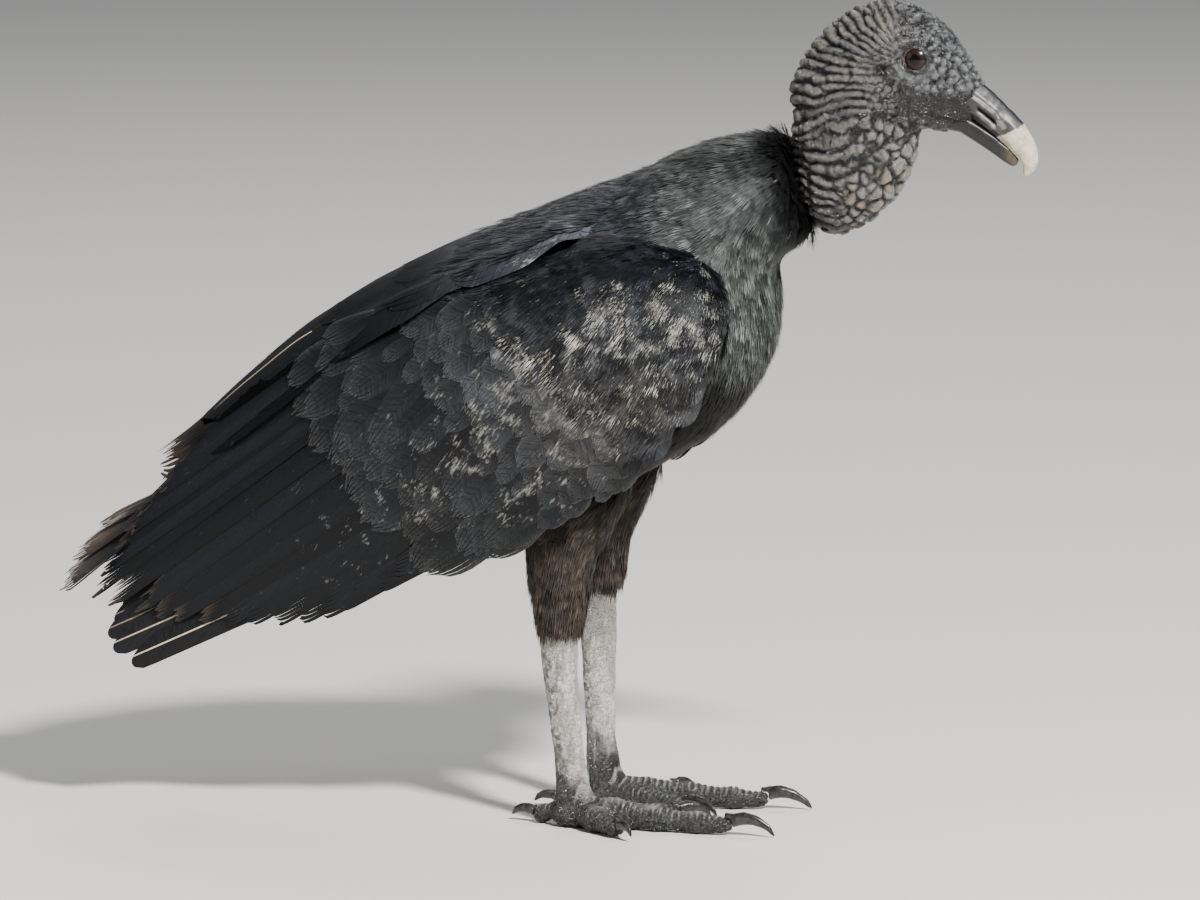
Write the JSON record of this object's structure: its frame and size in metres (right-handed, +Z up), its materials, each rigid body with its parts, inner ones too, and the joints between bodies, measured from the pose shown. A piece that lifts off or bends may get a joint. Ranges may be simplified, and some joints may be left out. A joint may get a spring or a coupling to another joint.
{
  "type": "black vulture",
  "caption": "Life-size still model of an adult black vulture standing at rest with wings folded, bare wrinkled grey head, ivory-tipped hooked bill and whitened legs.",
  "frame": {"origin": "bottom centre of the bird's bounding box, on the floor the toes stand on", "axes": "+X the way the bird faces, +Y the bird's left, +Z up"},
  "size_m": [0.496, 0.156, 0.4152],
  "materials": {
    "bare_skin": "dark grey wrinkled bare skin, dull",
    "plumage": "near-black contour feathers, soft sheen",
    "flight_feathers": "black flight feathers, browner at the worn tips",
    "shank_skin": "scaly dark skin whitened with droppings",
    "toe_skin": "dark grey scales and scutes",
    "claw_horn": "dark grey horn, slightly polished",
    "bill_horn": "grey-black horn with an ivory hook",
    "eye": "wet dark reddish-brown iris with a black pupil"
  },
  "bodies": {
    "root": {"head": "bare_skin", "neck": "bare_skin", "neck_base": "plumage", "trunk": "plumage", "bill_upper": "bill_horn", "bill_lower": "bill_horn", "tail": "flight_feathers", "wing_right": "plumage", "secondaries_right": "flight_feathers", "primaries_right": "flight_feathers", "scapulars_right": "flight_feathers", "thigh_right": "plumage", "shank_right": "shank_skin", "toe_hallux_right": "toe_skin", "claw_hallux_right": "claw_horn", "toe_inner_right": "toe_skin", "claw_inner_right": "claw_horn", "toe_middle_right": "toe_skin", "claw_middle_right": "claw_horn", "toe_outer_right": "toe_skin", "claw_outer_right": "claw_horn", "eye_right": "eye", "wing_left": "plumage", "secondaries_left": "flight_feathers", "primaries_left": "flight_feathers", "scapulars_left": "flight_feathers", "thigh_left": "plumage", "shank_left": "shank_skin", "toe_hallux_left": "toe_skin", "claw_hallux_left": "claw_horn", "toe_inner_left": "toe_skin", "claw_inner_left": "claw_horn", "toe_middle_left": "toe_skin", "claw_middle_left": "claw_horn", "toe_outer_left": "toe_skin", "claw_outer_left": "claw_horn", "eye_left": "eye"}
  },
  "joints": []
}
